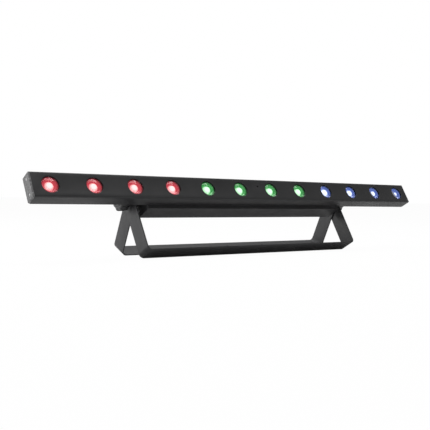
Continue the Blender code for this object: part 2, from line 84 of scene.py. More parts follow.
# ---- sizes of the finer shapes, in metres ----------------------------------------------------
BAR_WALL = 0.0018
BAR_CORNER = 0.003
COVER_EDGE = 0.0004
COVER_SCREW_RADIUS = 0.0024
COVER_SCREW_FROM_END = 0.02
COVER_SCREW_FROM_HOUSING = 0.03
CAP_EDGE = 0.0022
CAP_SCREW_RADIUS = 0.0028
CAP_SCREW_SUNK = 0.0012
CAP_SEAT_RADIUS = 0.0031
CAP_SEAT_DEPTH = 0.0013
LENS_HOLE_EASE = 0.0006
LENS_GAP = 0.0006
LENS_DOME_RISE = 0.0042
LENS_DOME_STEPS = 14

HOUSING_WALL = 0.0015
HOUSING_CORNER = 0.004
HOUSING_LIP_LAP = 0.004
HOUSING_EDGE = 0.0004
HOUSING_SCREW_RADIUS = 0.0020
HOUSING_SCREW_Z = 0.021
HOUSING_SCREW_FROM_BACK = 0.009

FLANGE_THICKNESS = 0.002
FLANGE_CORNER = 0.0035
FLANGE_EDGE = 0.0005
FLANGE_SCREW_RADIUS = 0.0015
FLANGE_SCREW_INSET = 0.0033
SOCKET_HOLE = 0.0118
SOCKET_HOLE_EASE = 0.0002
SOCKET_BARREL = 0.0115
SOCKET_BARREL_EDGE = 0.0004
SOCKET_RIM = 0.0010
SOCKET_CAVITY = 0.0092
SOCKET_FLARE = 0.0006
SOCKET_FLOOR = -0.0130
CONTACT_CIRCLE = 0.0042
CONTACT_HOLE = 0.0013
CONTACT_BLOCK_RADIUS = 0.0072
CONTACT_BLOCK_LENGTH = 0.0062

BUTTON_RADIUS = 0.0035
BUTTON_EASE = 0.0006
FIGURE_HEIGHT = 0.0105
FIGURE_WIDTH = 0.0056
FIGURE_STROKE = 0.0010
FIGURE_PITCH = 0.0095
FIGURE_THICKNESS = 0.00004
FIGURE_PROUD = 0.00006

PIVOT_HOLE = 0.0043
STUD_HEAD_LENGTH = 0.004
STUD_EASE = 0.0006
SPACER_EASE = 0.0012
KNOB_LOBES = 8
KNOB_SIDES = KNOB_LOBES * 16
KNOB_END_WALL = 0.005
YOKE_BEND = 0.010
YOKE_BEND_STEPS = 12
YOKE_EDGE = 0.0006
CLAMP_HOLE = 0.0032
CLAMP_HOLE_EASE = 0.0004
CLAMP_SPACING = 0.100

BEND_STEPS = 10
HOLE_GAP = 0.0003
SMALL_EASE = 0.0003
OVERRUN = 0.004
SHORT_OVERRUN = 0.002

X, Y, Z = Vector((1, 0, 0)), Vector((0, 1, 0)), Vector((0, 0, 1))


# ---- finishes --------------------------------------------------------------------------------
def add(tree, kind, links=None, **settings):
    """A shader node: settings that are its own are set, and any other is an input's value."""
    made = tree.nodes.new(kind)
    for name, value in settings.items():
        if hasattr(made, name):
            setattr(made, name, value)
        else:
            made.inputs[name.replace("_", " ").title()].default_value = value
    for name, source in (links or {}).items():
        tree.links.new(source, made.inputs[name])
    return made


def finish(name, **sockets):
    """A Principled material whose constants sit on the shader's own sockets."""
    made = bpy.data.materials.new(name)
    made.use_nodes = True
    shader = made.node_tree.nodes["Principled BSDF"]
    for socket, value in sockets.items():
        shader.inputs[socket.replace("_", " ")].default_value = value
    return made, made.node_tree, shader


def grain(tree, scale, detail=3.0, roughness=0.55, stretch=(1.0, 1.0, 1.0)):
    """Noise over the piece in its own metres: scale is about how many cells lie along one metre."""
    place = add(tree, "ShaderNodeTexCoord").outputs["Object"]
    if stretch != (1.0, 1.0, 1.0):
        place = add(tree, "ShaderNodeMapping", {"Vector": place}, scale=stretch).outputs[0]
    noise = add(tree, "ShaderNodeTexNoise", {"Vector": place},
                scale=scale, detail=detail, roughness=roughness)
    return noise.outputs["Fac"]


def span(tree, value, low, high, start=0.35, end=0.65):
    """The value, stretched from start..end to low..high."""
    made = add(tree, "ShaderNodeMapRange", {"Value": value})
    limits = {"From Min": start, "From Max": end, "To Min": low, "To Max": high}
    for socket, number in limits.items():
        made.inputs[socket].default_value = number
    return made.outputs[0]


def tones(tree, value, stops):
    """A colour ramp through (place, colour) stops."""
    ramp = add(tree, "ShaderNodeValToRGB", {"Fac": value})
    while len(ramp.color_ramp.elements) < len(stops):
        ramp.color_ramp.elements.new(0.5)
    for element, (place, color) in zip(ramp.color_ramp.elements, stops):
        element.position = place
        element.color = (*color, 1.0)
    return ramp.outputs["Color"]


def relief(tree, height, depth, under=None):
    """Bump of a given depth in metres, on top of another bump if there is one."""
    links = {"Height": height}
    if under is not None:
        links["Normal"] = under
    bump = add(tree, "ShaderNodeBump", links)
    bump.inputs["Strength"].default_value = 1.0
    bump.inputs["Distance"].default_value = depth
    return bump.outputs["Normal"]


def wire(tree, shader, **sockets):
    """Link outputs to the shader's inputs by name."""
    for socket, source in sockets.items():
        tree.links.new(source, shader.inputs[socket.replace("_", " ")])


def shade(color, factor):
    return tuple(channel * factor for channel in color)


TONE_CHANGE = 0.18
GLOSS_CHANGE = 0.06


def textured(name, color, roughness, cell, depth, **sockets):
    """Paint, rubber or moulded plastic: fine grain over slow changes of tone and gloss."""
    made, tree, shader = finish(name, **sockets)
    fine = grain(tree, 1.0 / cell, 2.0)
    slow = grain(tree, 14.0, 4.0)
    stops = [(0.32, shade(color, 1.0 - TONE_CHANGE)), (0.68, shade(color, 1.0 + TONE_CHANGE))]
    wire(tree, shader,
         Base_Color=tones(tree, slow, stops),
         Roughness=span(tree, slow, roughness - GLOSS_CHANGE, roughness + GLOSS_CHANGE),
         Normal=relief(tree, fine, depth))
    return made


def rough_casting(name, color, roughness):
    """End caps: a mottled, coarse-grained paint over a casting."""
    made, tree, shader = finish(name, Specular_IOR_Level=0.45)
    blotch = grain(tree, 260.0, 5.0, 0.7)
    fine = grain(tree, 1400.0, 2.0)
    stops = [(0.34, shade(color, 0.45)), (0.5, color), (0.66, shade(color, 1.9))]
    wire(tree, shader,
         Base_Color=tones(tree, blotch, stops),
         Roughness=span(tree, fine, roughness - 0.1, roughness + 0.1),
         Normal=relief(tree, fine, 0.00012, relief(tree, blotch, 0.0004)))
    return made


def bare_metal(name, color, roughness, stretch, scale=900.0):
    """Metal with drawn or turned lines along the stretched axis."""
    made, tree, shader = finish(name, Metallic=1.0)
    lines = grain(tree, scale, 4.0, 0.6, stretch)
    slow = grain(tree, 60.0, 3.0)
    stops = [(0.3, shade(color, 0.75)), (0.7, color)]
    wire(tree, shader,
         Base_Color=tones(tree, slow, stops),
         Roughness=span(tree, lines, roughness - 0.08, roughness + 0.12),
         Normal=relief(tree, lines, 0.00002))
    return made


def circuit_board(name):
    """Solder mask with tracks showing through and tinned pads."""
    made, tree, shader = finish(name, Specular_IOR_Level=0.6)
    place = add(tree, "ShaderNodeTexCoord").outputs["Object"]
    tracks = add(tree, "ShaderNodeTexBrick", {"Vector": place})
    tracks.inputs["Scale"].default_value = 90.0
    tracks.inputs["Mortar Size"].default_value = 0.012
    cells = add(tree, "ShaderNodeTexVoronoi", {"Vector": place}, scale=420.0)
    pads = span(tree, cells.outputs["Distance"], 1.0, 0.0, 0.10, 0.13)
    mask = tones(tree, tracks.outputs["Fac"],
                 [(0.0, (0.010, 0.075, 0.028)), (1.0, (0.03, 0.16, 0.06))])
    mixed = add(tree, "ShaderNodeMix", {"Factor": pads}, data_type="RGBA")
    tree.links.new(mask, mixed.inputs["A"])
    mixed.inputs["B"].default_value = (0.62, 0.60, 0.55, 1.0)
    wire(tree, shader,
         Base_Color=mixed.outputs["Result"],
         Roughness=span(tree, pads, 0.38, 0.25, 0.0, 1.0),
         Normal=relief(tree, tracks.outputs["Fac"], 0.00004))
    return made


def clear_lens(name, tint):
    """Moulded acrylic with a little haze; the colour comes mostly from the lit cup behind it."""
    made, tree, shader = finish(name, Transmission_Weight=1.0, IOR=1.36, Specular_IOR_Level=0.5)
    haze = grain(tree, 240.0, 3.0)
    wire(tree, shader,
         Base_Color=tones(tree, haze, [(0.3, shade(tint, 0.96)), (0.7, tint)]),
         Roughness=span(tree, haze, 0.015, 0.05),
         Normal=relief(tree, grain(tree, 90.0, 1.0), 0.00002))
    return made


def radius_from_axis(tree, reach):
    """Distance from the piece's own Z axis, as a share of reach."""
    place = add(tree, "ShaderNodeTexCoord").outputs["Object"]
    parts = add(tree, "ShaderNodeSeparateXYZ", {"Vector": place})
    flat = add(tree, "ShaderNodeCombineXYZ", {"X": parts.outputs["X"], "Y": parts.outputs["Y"]})
    length = add(tree, "ShaderNodeVectorMath", {0: flat.outputs[0]}, operation="LENGTH")
    return span(tree, length.outputs["Value"], 0.0, 1.0, 0.0, reach)


def seen_apart(tree, lit, seen, share, output):
    """Light the scene with one shader, and show the camera a share of the other."""
    rays = add(tree, "ShaderNodeLightPath")
    part = add(tree, "ShaderNodeMath", {0: rays.outputs["Is Camera Ray"]}, operation="MULTIPLY")
    part.inputs[1].default_value = share
    mix = add(tree, "ShaderNodeMixShader", {"Fac": part.outputs[0], 1: lit.outputs[0],
                                            2: seen.outputs[0]})
    tree.links.new(mix.outputs[0], tree.nodes[output].inputs["Surface"])


def lit_cup(name, color, hot, core):
    """The reflector cup and emitter: white-hot in the middle, coloured and fading up the wall."""
    made, tree, shader = finish(name, Roughness=0.35, Emission_Strength=1.0)
    share = radius_from_axis(tree, CUP_REACH)
    halfway = tuple((bright + dim) / 2 for bright, dim in zip(hot, color))
    ripple = grain(tree, 700.0, 2.0)
    rippled = add(tree, "ShaderNodeMath", {0: span(tree, ripple, -0.03, 0.03), 1: share},
                  operation="ADD")
    stops = [(0.0, hot), (core, hot), (core + 0.13, halfway), (core + 0.24, shade(color, 1.15)),
             (0.76, color), (0.92, shade(color, 0.6)), (1.0, shade(color, 0.35))]
    glow = tones(tree, rippled.outputs[0], stops)
    wire(tree, shader,
         Base_Color=tones(tree, share, [(0.0, shade(color, 0.8)), (1.0, shade(color, 0.3))]),
         Emission_Color=glow,
         Normal=relief(tree, ripple, 0.0001))
    return made


def smoked_glass(name, color, roughness, shine=0.7, coat=0.4):
    """A dark window with a faint film that varies its tone and gloss."""
    made, tree, shader = finish(name, Specular_IOR_Level=shine, Coat_Weight=coat,
                                Coat_Roughness=0.04)
    film = grain(tree, 45.0, 3.0)
    wire(tree, shader,
         Base_Color=tones(tree, film, [(0.3, shade(color, 0.7)), (0.7, shade(color, 1.3))]),
         Roughness=span(tree, film, roughness * 0.6, roughness * 1.4))
    return made


def lit_segment(name, color):
    """The glowing bars of a figure."""
    made, tree, shader = finish(name, Roughness=0.4, Emission_Strength=1.6)
    mottle = grain(tree, 900.0, 2.0)
    glow = tones(tree, mottle, [(0.3, shade(color, 0.8)), (0.7, color)])
    wire(tree, shader, Base_Color=glow, Emission_Color=glow)
    return made


CUP_REACH = 0.0150
BLACK = (0.0165, 0.0165, 0.0175)
BAR_PAINT = textured("bar_powder_coat", BLACK, 0.46, 0.0005, 0.00005, Specular_IOR_Level=0.40)
HOUSING_PAINT = textured("housing_powder_coat", shade(BLACK, 1.05), 0.50, 0.0005, 0.00006,
                         Specular_IOR_Level=0.40)
YOKE_PAINT = textured("yoke_powder_coat", shade(BLACK, 1.25), 0.48, 0.0006, 0.00007,
                      Specular_IOR_Level=0.45)
CAP_PAINT = rough_casting("end_cap_casting", (0.115, 0.115, 0.117), 0.50)
KNOB_PLASTIC = textured("knob_moulding", (0.014, 0.014, 0.015), 0.42, 0.0007, 0.00008,
                        Specular_IOR_Level=0.5)
SOCKET_PLASTIC = textured("socket_moulding", (0.010, 0.010, 0.011), 0.36, 0.0008, 0.00005,
                          Specular_IOR_Level=0.5)
BUTTON_RUBBER = textured("button_rubber_skin", (0.030, 0.030, 0.032), 0.72, 0.0004, 0.00004,
                         Specular_IOR_Level=0.3, Sheen_Weight=0.15)
SPACER_RUBBER = textured("spacer_rubber_skin", (0.012, 0.012, 0.012), 0.82, 0.0005, 0.00008,
                         Specular_IOR_Level=0.3, Sheen_Weight=0.2)
ZINC = bare_metal("zinc_plated_steel", (0.56, 0.56, 0.57), 0.34, (1.0, 1.0, 0.05))
EXTRUSION = bare_metal("extruded_aluminium", (0.66, 0.67, 0.69), 0.40, (0.02, 1.0, 1.0), 1500.0)
BRASS = bare_metal("turned_brass", (0.70, 0.50, 0.22), 0.28, (1.0, 0.05, 1.0))
BOARD = circuit_board("solder_mask")
SENSOR_GLASS = smoked_glass("sensor_glass", (0.004, 0.003, 0.003), 0.12, 0.1, 0.0)
DISPLAY_GLASS = smoked_glass("display_glass", (0.008, 0.009, 0.014), 0.08)
SEGMENT_LIGHT = lit_segment("segment_light", (0.85, 0.10, 0.05))
# Each lens slot's lit colour, hot colour, hot core as a share of the cup, and tint of the acrylic.
TINTS = {
    "lens_red": ((0.44, 0.034, 0.055), (1.5, 1.2, 1.15), 0.27, (1.0, 0.80, 0.82)),
    "lens_green": ((0.028, 0.25, 0.055), (1.15, 1.6, 1.2), 0.29, (0.86, 1.0, 0.88)),
    "lens_blue": ((0.050, 0.100, 0.34), (1.5, 1.65, 1.9), 0.36, (0.87, 0.89, 1.0)),
}


# ---- drawing helpers -------------------------------------------------------------------------
def eased(points, reach, steps=4, closed=False):
    """The same line with its corners turned into short curves."""
    count = len(points)
    corners = range(count) if closed else range(1, count - 1)
    line = [] if closed else [tuple(points[0])]
    for index in corners:
        corner = Vector(points[index])
        before = Vector(points[index - 1]) - corner
        after = Vector(points[(index + 1) % count]) - corner
        start = corner + before.normalized() * min(reach, before.length * 0.49)
        end = corner + after.normalized() * min(reach, after.length * 0.49)
        for step in range(steps + 1):
            t = step / steps
            line.append(tuple(start * (1 - t) ** 2 + corner * 2 * t * (1 - t) + end * t ** 2))
    return line if closed else [*line, tuple(points[-1])]


def facing(location, axis):
    """A frame at a place, whose +Z looks along axis."""
    return Matrix.Translation(location) @ Vector(axis).to_track_quat("Z", "Y").to_matrix().to_4x4()


def loft(rings, capped=True, looped=False):
    """A skin through rings of equally many points."""
    def draw(mesh):
        made = [[mesh.verts.new(point) for point in ring] for ring in rings]
        pairs = list(zip(made, made[1:]))
        if looped:
            pairs.append((made[-1], made[0]))
        for ring, following in pairs:
            for index in range(len(ring)):
                after = (index + 1) % len(ring)
                mesh.faces.new((ring[index], ring[after], following[after], following[index]))
        if capped:
            mesh.faces.new(made[0])
            mesh.faces.new(made[-1])
    return draw


def turned(profile, at=Matrix.Identity(4), sides=64):
    """A body turned about Z: profile holds (height, radius) pairs, and radius 0 closes an end."""
    ends_on_axis = profile[0][1] == 0.0
    angles = [2 * math.pi * index / sides for index in range(sides)]
    rings = [[at @ Vector((radius * math.cos(a), radius * math.sin(a), height)) for a in angles]
             for height, radius in profile]
    return loft(rings, capped=False, looped=not ends_on_axis)


def prism(outline, start, end, axis="X"):
    """An outline run along X, from (y, z) points, or along Y, from (x, z) points."""
    if axis == "X":
        return loft([[(x, y, z) for y, z in outline] for x in (start, end)])
    return loft([[(x, y, z) for x, z in outline] for y in (start, end)])


def rectangle(low, high):
    """Four corners between two opposite ones."""
    return [(low[0], low[1]), (high[0], low[1]), (high[0], high[1]), (low[0], high[1])]


def draw_mesh(name, draws):
    """An object made of the bodies that the given functions draw."""
    mesh = bmesh.new()
    for draw in draws:
        draw(mesh)
    bmesh.ops.remove_doubles(mesh, verts=mesh.verts, dist=1e-7)
    bmesh.ops.dissolve_degenerate(mesh, edges=mesh.edges, dist=1e-8)
    bmesh.ops.recalc_face_normals(mesh, faces=mesh.faces)
    data = bpy.data.meshes.new(name)
    mesh.to_mesh(data)
    mesh.free()
    made = bpy.data.objects.new(name, data)
    bpy.context.scene.collection.objects.link(made)
    return made


def in_plane(axis, place):
    """A test for edges that lie flat in one plane: axis 0 is X and 1 is Y."""
    return lambda edge: all(abs(vertex.co[axis] - place) < 1e-6 for vertex in edge.verts)


SHARP_DEGREES = 35.0
EDGE_SEGMENTS = 3


def soften(made, width, chosen=lambda edge: True):
    """Round the sharp edges of a drawn piece that the test chooses."""
    mesh = bmesh.new()
    mesh.from_mesh(made.data)
    limit = math.radians(SHARP_DEGREES)
    edges = [edge for edge in mesh.edges
             if len(edge.link_faces) == 2 and edge.calc_face_angle() > limit and chosen(edge)]
    bmesh.ops.bevel(mesh, geom=edges, offset=width, offset_type="OFFSET",
                    segments=EDGE_SEGMENTS, profile=0.5, affect="EDGES", clamp_overlap=True)
    mesh.to_mesh(made.data)
    mesh.free()


def carve(made, draws, operation="DIFFERENCE"):
    """Cut bodies out of a piece, or join them to it, and keep the result as its mesh."""
    tool = draw_mesh("carving_tool", draws)
    boolean = made.modifiers.new("carve", "BOOLEAN")
    boolean.operation = operation
    boolean.solver = "EXACT"
    boolean.object = tool
    evaluated = made.evaluated_get(bpy.context.evaluated_depsgraph_get())
    result = bpy.data.meshes.new_from_object(evaluated)
    made.modifiers.clear()
    made.data = result
    bpy.data.objects.remove(tool, do_unlink=True)


def settle(made, material, body, place=LAMP, stands_for=(), crisp=32.0):
    """Shade, finish and place a drawn piece, and hand it to the body that it rides on."""
    made.data.materials.clear()
    made.data.materials.append(material)
    made.data.shade_smooth()
    made.data.set_sharp_from_angle(angle=math.radians(crisp))
    made.matrix_world = place
    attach(made, body)
    if stands_for:
        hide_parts(*stands_for)


def refinish(nodes, material):
    """Give CAD parts whose shape is right their finish."""
    for name in nodes:
        data = frame["nodes"][name].data
        data.materials.clear()
        data.materials.append(material)


def flared_hole(radius, ease, thickness=None):
    """Cutter down +Z from a face at height 0 whose mouth, or both mouths, roll over softly."""
    turn = [math.radians(90 * step / 6) for step in range(7)]
    mouth = [(ease - ease * math.cos(a), radius + ease - ease * math.sin(a)) for a in turn]
    line = [(-OVERRUN, 0.0), (-OVERRUN, radius + ease), *mouth]
    if thickness is None:
        return [*line, (OVERRUN, radius), (OVERRUN, 0.0)]
    exit_mouth = [(thickness - height, across) for height, across in reversed(mouth)]
    beyond = thickness + OVERRUN
    return [*line, *exit_mouth, (beyond, radius + ease), (beyond, 0.0)]


def wall_hole(node, face, inward, radius, ease, sides=64):
    """Cutter through a wall in front of a node, from the wall's face inwards."""
    middle = middle_of(node)
    return turned(flared_hole(radius, ease), facing((middle.x, face, middle.z), inward), sides)


def folded_sheet(mouth, back, half, wall, corner, lip=None):
    """Section of a sheet folded into a U, as (y, z) points; its mouth is open between any lips."""
    way = 1 if back > mouth else -1

    def side(inset):
        reach = corner - inset
        points = [(mouth, inset - half)]
        if lip is not None:
            near = mouth + way * inset
            points = [(near, -lip), (near, inset - half)]
        for step in range(BEND_STEPS + 1):
            angle = math.pi / 2 * step / BEND_STEPS
            points.append((back - way * corner + way * reach * math.sin(angle),
                           corner - half - reach * math.cos(angle)))
        return points + [(y, -z) for y, z in reversed(points)]

    return side(0.0) + list(reversed(side(wall)))


def screw(name, location, axis, radius, stands_for=()):
    """Pan-head screw with a cross recess; its head stands on the place given."""
    rise = radius * 0.45
    head = [(-0.0010, 0.0), (-0.0010, radius * 0.5), (0.0, radius * 0.55), (0.0, radius),
            (rise * 0.45, radius * 0.97), (rise * 0.80, radius * 0.80), (rise, radius * 0.45),
            (rise, 0.0)]
    made = draw_mesh(name, [turned(head, sides=40)])
    arm, width, floor = radius * 0.62, radius * 0.13, rise * 0.35
    cross = [prism(rectangle((-arm, floor), (arm, rise * 2)), -width, width, "Y"),
             prism(rectangle((-width, floor), (width, rise * 2)), -arm, arm, "Y")]
    for bar in cross:
        carve(made, [bar])
    settle(made, ZINC, "lamp", LAMP @ facing(location, axis), stands_for)


# ---- the lamp bar ----------------------------------------------------------------------------
LENSES = [f"lens_{number:02d}" for number in range(1, 13)]


def build_channel():
    """The bar's face, top and bottom, folded from one sheet, with flared lens holes."""
    low, high = local_box("front_channel")
    section = folded_sheet(high.y, low.y, high.z, BAR_WALL, BAR_CORNER)
    made = draw_mesh("bar_channel", [prism(section, low.x, high.x)])
    holes = [wall_hole(name, low.y, Y, half_width(name) + LENS_GAP, LENS_HOLE_EASE, 96)
             for name in LENSES]
    window_radius = half_width("sensor_window") + HOLE_GAP
    holes.append(wall_hole("sensor_window", low.y, Y, window_radius, SMALL_EASE, 40))
    carve(made, holes)
    settle(made, BAR_PAINT, "lamp", stands_for=["front_channel"], crisp=25.0)


def build_rear_cover():
    """The flat cover, screwed on where the housing leaves it free."""
    low, high = local_box("rear_cover")
    made = draw_mesh("bar_rear_cover", [prism(rectangle(low.yz, high.yz), low.x, high.x)])
    soften(made, COVER_EDGE)
    settle(made, BAR_PAINT, "lamp", stands_for=["rear_cover"])
    housing_end = local_box("housing_end_right")[1].x
    near = housing_end + COVER_SCREW_FROM_HOUSING
    halfway = (high.x + housing_end) / 2
    far = high.x - COVER_SCREW_FROM_END
    for number, x in enumerate((-far, -halfway, -near, near, halfway, far)):
        screw(f"cover_screw_{number + 1}", (x, high.y, 0.0), Y, COVER_SCREW_RADIUS)


def build_end_caps():
    """A cast cap on each end, with a screw sunk in each of its two seats."""
    for name, side in (("left", -1), ("right", 1)):
        node = f"end_cap_{name}"
        low, high = local_box(node)
        outline = eased(rectangle(low.yz, high.yz), BAR_CORNER, 8, closed=True)
        inner, outer = (low.x, high.x) if side > 0 else (high.x, low.x)
        made = draw_mesh(f"bar_end_{name}", [prism(outline, inner, outer)])
        soften(made, CAP_EDGE, in_plane(0, outer))
        mouth = CAP_SEAT_RADIUS + SMALL_EASE
        pocket = [(-SHORT_OVERRUN, 0.0), (-SHORT_OVERRUN, mouth), (0.0, mouth),
                  (SMALL_EASE, CAP_SEAT_RADIUS), (CAP_SEAT_DEPTH, CAP_SEAT_RADIUS),
                  (CAP_SEAT_DEPTH, 0.0)]
        seats = []
        for place in ("lower", "upper"):
            middle = middle_of(f"end_screw_{name}_{place}")
            seats.append(turned(pocket, facing((outer, middle.y, middle.z), -side * X), 48))
            head_seat = (outer - side * CAP_SCREW_SUNK, middle.y, middle.z)
            screw(f"cap_screw_{name}_{place}", head_seat, side * X, CAP_SCREW_RADIUS,
                  stands_for=[f"end_screw_{name}_{place}"])
        carve(made, seats)
        settle(made, CAP_PAINT, "lamp", stands_for=[node])


# Depth behind the lens and radius, from rim to middle inside and from middle to rim outside.
CUP_INSIDE = ((-0.00008, CUP_REACH), (-0.00020, 0.0134), (-0.0012, 0.0118), (-0.0026, 0.0096),
              (-0.0034, 0.0078), (-0.0034, 0.0066), (-0.0018, 0.0056), (-0.0010, 0.0034),
              (-0.0008, 0.0))
CUP_OUTSIDE = ((-0.0050, 0.0), (-0.0050, 0.0082), (-0.0036, 0.0098), (-0.0014, 0.0120),
               (-0.00028, 0.0136), (-0.00028, CUP_REACH))


def lens_profile(radius, tall):
    """Flat back, straight rim and a domed front that is part of a sphere."""
    sphere = (radius ** 2 + LENS_DOME_RISE ** 2) / (2 * LENS_DOME_RISE)
    half_angle = math.asin(radius / sphere)
    angles = [half_angle * (1 - step / LENS_DOME_STEPS) for step in range(LENS_DOME_STEPS)]
    dome = [(tall - sphere * (1 - math.cos(a)), sphere * math.sin(a)) for a in angles]
    return [(0.0, 0.0), (0.0, radius), *dome, (tall, 0.0)]


def build_lenses():
    """Each lens is a clear dome in front of a lit cup; the colours change every four lenses."""
    slots = list(TINTS)
    cups = {slot: lit_cup(f"{slot}_cup", color, hot, core)
            for slot, (color, hot, core, _) in TINTS.items()}
    domes = {slot: clear_lens(f"{slot}_acrylic", look[-1]) for slot, look in TINTS.items()}
    for index, name in enumerate(LENSES):
        slot = slots[index * len(slots) // len(LENSES)]
        low, high = local_box(name)
        middle = (low + high) / 2
        place = LAMP @ facing((middle.x, high.y, middle.z), -Y)
        profile = lens_profile((high.x - low.x) / 2, high.y - low.y)
        made = draw_mesh(f"{name}_dome", [turned(profile)])
        settle(made, domes[slot], "lamp", place, [name])
        made = draw_mesh(f"{name}_cup", [turned([*reversed(CUP_INSIDE), *reversed(CUP_OUTSIDE)])])
        settle(made, cups[slot], "lamp", place, crisp=50.0)


# ---- the driver housing ----------------------------------------------------------------------
SOCKETS = ("power_inlet", "power_outlet", "data_inlet", "data_outlet")
BUTTONS = ("button_menu", "button_up", "button_down", "button_enter")


def build_housing():
    """The folded shell with its panel openings, and a screwed plate on each end."""
    low, high = local_box("housing_shell")
    lip = local_box("front_channel")[1].z - HOUSING_LIP_LAP
    section = folded_sheet(low.y, high.y, high.z, HOUSING_WALL, HOUSING_CORNER, lip)
    made = draw_mesh("driver_housing", [prism(section, low.x, high.x)])
    holes = [wall_hole(node, high.y, -Y, SOCKET_HOLE, SOCKET_HOLE_EASE) for node in SOCKETS]
    holes += [wall_hole(node, high.y, -Y, BUTTON_RADIUS + HOLE_GAP, SMALL_EASE, 40)
              for node in BUTTONS]
    box_low, box_high = local_box("display_window")
    gap = Vector((HOLE_GAP, HOLE_GAP))
    window = rectangle(box_low.xz - gap, box_high.xz + gap)
    holes.append(prism(window, high.y - OVERRUN, high.y + OVERRUN, "Y"))
    carve(made, holes)
    settle(made, HOUSING_PAINT, "lamp", stands_for=["housing_shell"],
           crisp=25.0)

    for name, side in (("left", -1), ("right", 1)):
        node = f"housing_end_{name}"
        low, high = local_box(node)
        inner, outer = (low.x, high.x) if side > 0 else (high.x, low.x)
        made = draw_mesh(f"housing_side_{name}", [prism(folded_outline(low, high), inner, outer)])
        soften(made, HOUSING_EDGE, in_plane(0, outer))
        pivot = facing((outer, 0, 0), -side * X)
        carve(made, [turned(flared_hole(PIVOT_HOLE, SMALL_EASE), pivot, 40)])
        settle(made, HOUSING_PAINT, "lamp", stands_for=[node])
        for place, z in (("lower", -HOUSING_SCREW_Z), ("upper", HOUSING_SCREW_Z)):
            spot = (outer, high.y - HOUSING_SCREW_FROM_BACK, z)
            screw(f"housing_screw_{name}_{place}", spot, side * X, HOUSING_SCREW_RADIUS)


def folded_outline(low, high):
    """Outline of an end plate, square towards the bar and rounded at the back."""
    outline = [(low.y, low.z)]
    for turn, z in ((-90, low.z + HOUSING_CORNER), (0, high.z - HOUSING_CORNER)):
        for step in range(BEND_STEPS + 1):
            angle = math.radians(turn + 90 * step / BEND_STEPS)
            outline.append((high.y - HOUSING_CORNER + HOUSING_CORNER * math.cos(angle),
                            z + HOUSING_CORNER * math.sin(angle)))
    return [*outline, (low.y, high.z)]


def build_sockets():
    """Each panel socket: a square flange with two screws, a barrel and an open cavity."""
    for node in SOCKETS:
        low, high = local_box(node)
        middle = (low + high) / 2
        face = high.y
        flange = eased(rectangle(low.xz, high.xz), FLANGE_CORNER, 6, closed=True)
        made = draw_mesh(f"{node}_shell", [prism(flange, face - FLANGE_THICKNESS, face, "Y")])
        soften(made, FLANGE_EDGE, in_plane(1, face))
        at = facing((middle.x, face, middle.z), Y)
        rear = low.y - face
        barrel = [(rear, 0.0), (rear, SOCKET_BARREL),
                  (SOCKET_RIM - SOCKET_BARREL_EDGE, SOCKET_BARREL),
                  (SOCKET_RIM, SOCKET_BARREL - SOCKET_BARREL_EDGE), (SOCKET_RIM, 0.0)]
        carve(made, [turned(barrel, at, 72)], "UNION")
        mouth = SOCKET_CAVITY + SOCKET_FLARE
        cavity = [(SOCKET_FLOOR, 0.0), (SOCKET_FLOOR, SOCKET_CAVITY),
                  (SOCKET_RIM - SOCKET_FLARE, SOCKET_CAVITY), (SOCKET_RIM + 0.0002, mouth),
                  (OVERRUN, mouth), (OVERRUN, 0.0)]
        carve(made, [turned(cavity, at, 72)])
        settle(made, SOCKET_PLASTIC, "lamp", stands_for=[node])
        for number, way in enumerate((-1, 1)):
            spot = (middle.x + way * (high.x - middle.x - FLANGE_SCREW_INSET), face,
                    way * (high.z - FLANGE_SCREW_INSET))
            screw(f"{node}_screw_{number + 1}", spot, Y, FLANGE_SCREW_RADIUS)
        build_socket_insert(node, at)


def build_socket_insert(node, at):
    """What is inside each cavity: a keyed rib, and in the outlets a contact block with holes."""
    low, high = (-0.0012, SOCKET_CAVITY - 0.0014), (0.0012, SOCKET_CAVITY + 0.0006)
    ends = (SOCKET_FLOOR + HOLE_GAP, -0.0020)
    rib = loft([[(x, y, z) for x, y in rectangle(low, high)] for z in ends])
    made = draw_mesh(f"{node}_key", [rib])
    soften(made, SMALL_EASE)
    settle(made, SOCKET_PLASTIC, "lamp", LAMP @ at)
    if not node.endswith("outlet"):
        return
    foot = SOCKET_FLOOR + 0.0002
    top = SOCKET_FLOOR + CONTACT_BLOCK_LENGTH
    block = [(foot, 0.0), (foot, CONTACT_BLOCK_RADIUS), (top - 0.0006, CONTACT_BLOCK_RADIUS),
             (top, CONTACT_BLOCK_RADIUS - 0.0006), (top, 0.0)]
    made = draw_mesh(f"{node}_contact_block", [turned(block, sides=56)])
    bottom = SOCKET_FLOOR + 0.002
    bore = [(bottom, 0.0), (bottom, CONTACT_HOLE), (0.0, CONTACT_HOLE), (0.0, 0.0)]
    spots = [math.radians(90 + 120 * number) for number in range(3)]
    places = [(CONTACT_CIRCLE * math.cos(a), CONTACT_CIRCLE * math.sin(a), 0.0) for a in spots]
    carve(made, [turned(bore, Matrix.Translation(place), 24) for place in places])
    settle(made, SOCKET_PLASTIC, "lamp", LAMP @ at)


def build_buttons():
    """Each button: a soft-edged cap on a collar that stays behind the housing wall."""
    behind_wall = local_box("housing_shell")[1].y - HOUSING_WALL - HOLE_GAP
    for node in BUTTONS:
        low, high = local_box(node)
        middle = (low + high) / 2
        collar = high.x - middle.x
        step = behind_wall - low.y
        tall = high.y - low.y
        line = [(0.0, 0.0), (0.0, collar), (step, collar), (step, BUTTON_RADIUS),
                (tall - 0.0003, BUTTON_RADIUS), (tall, BUTTON_RADIUS * 0.55), (tall - 0.0002, 0.0)]
        made = draw_mesh(f"{node}_cap", [turned(eased(line, BUTTON_EASE), sides=48)])
        settle(made, BUTTON_RUBBER, node, LAMP @ facing((middle.x, low.y, middle.z), Y),
               [node])


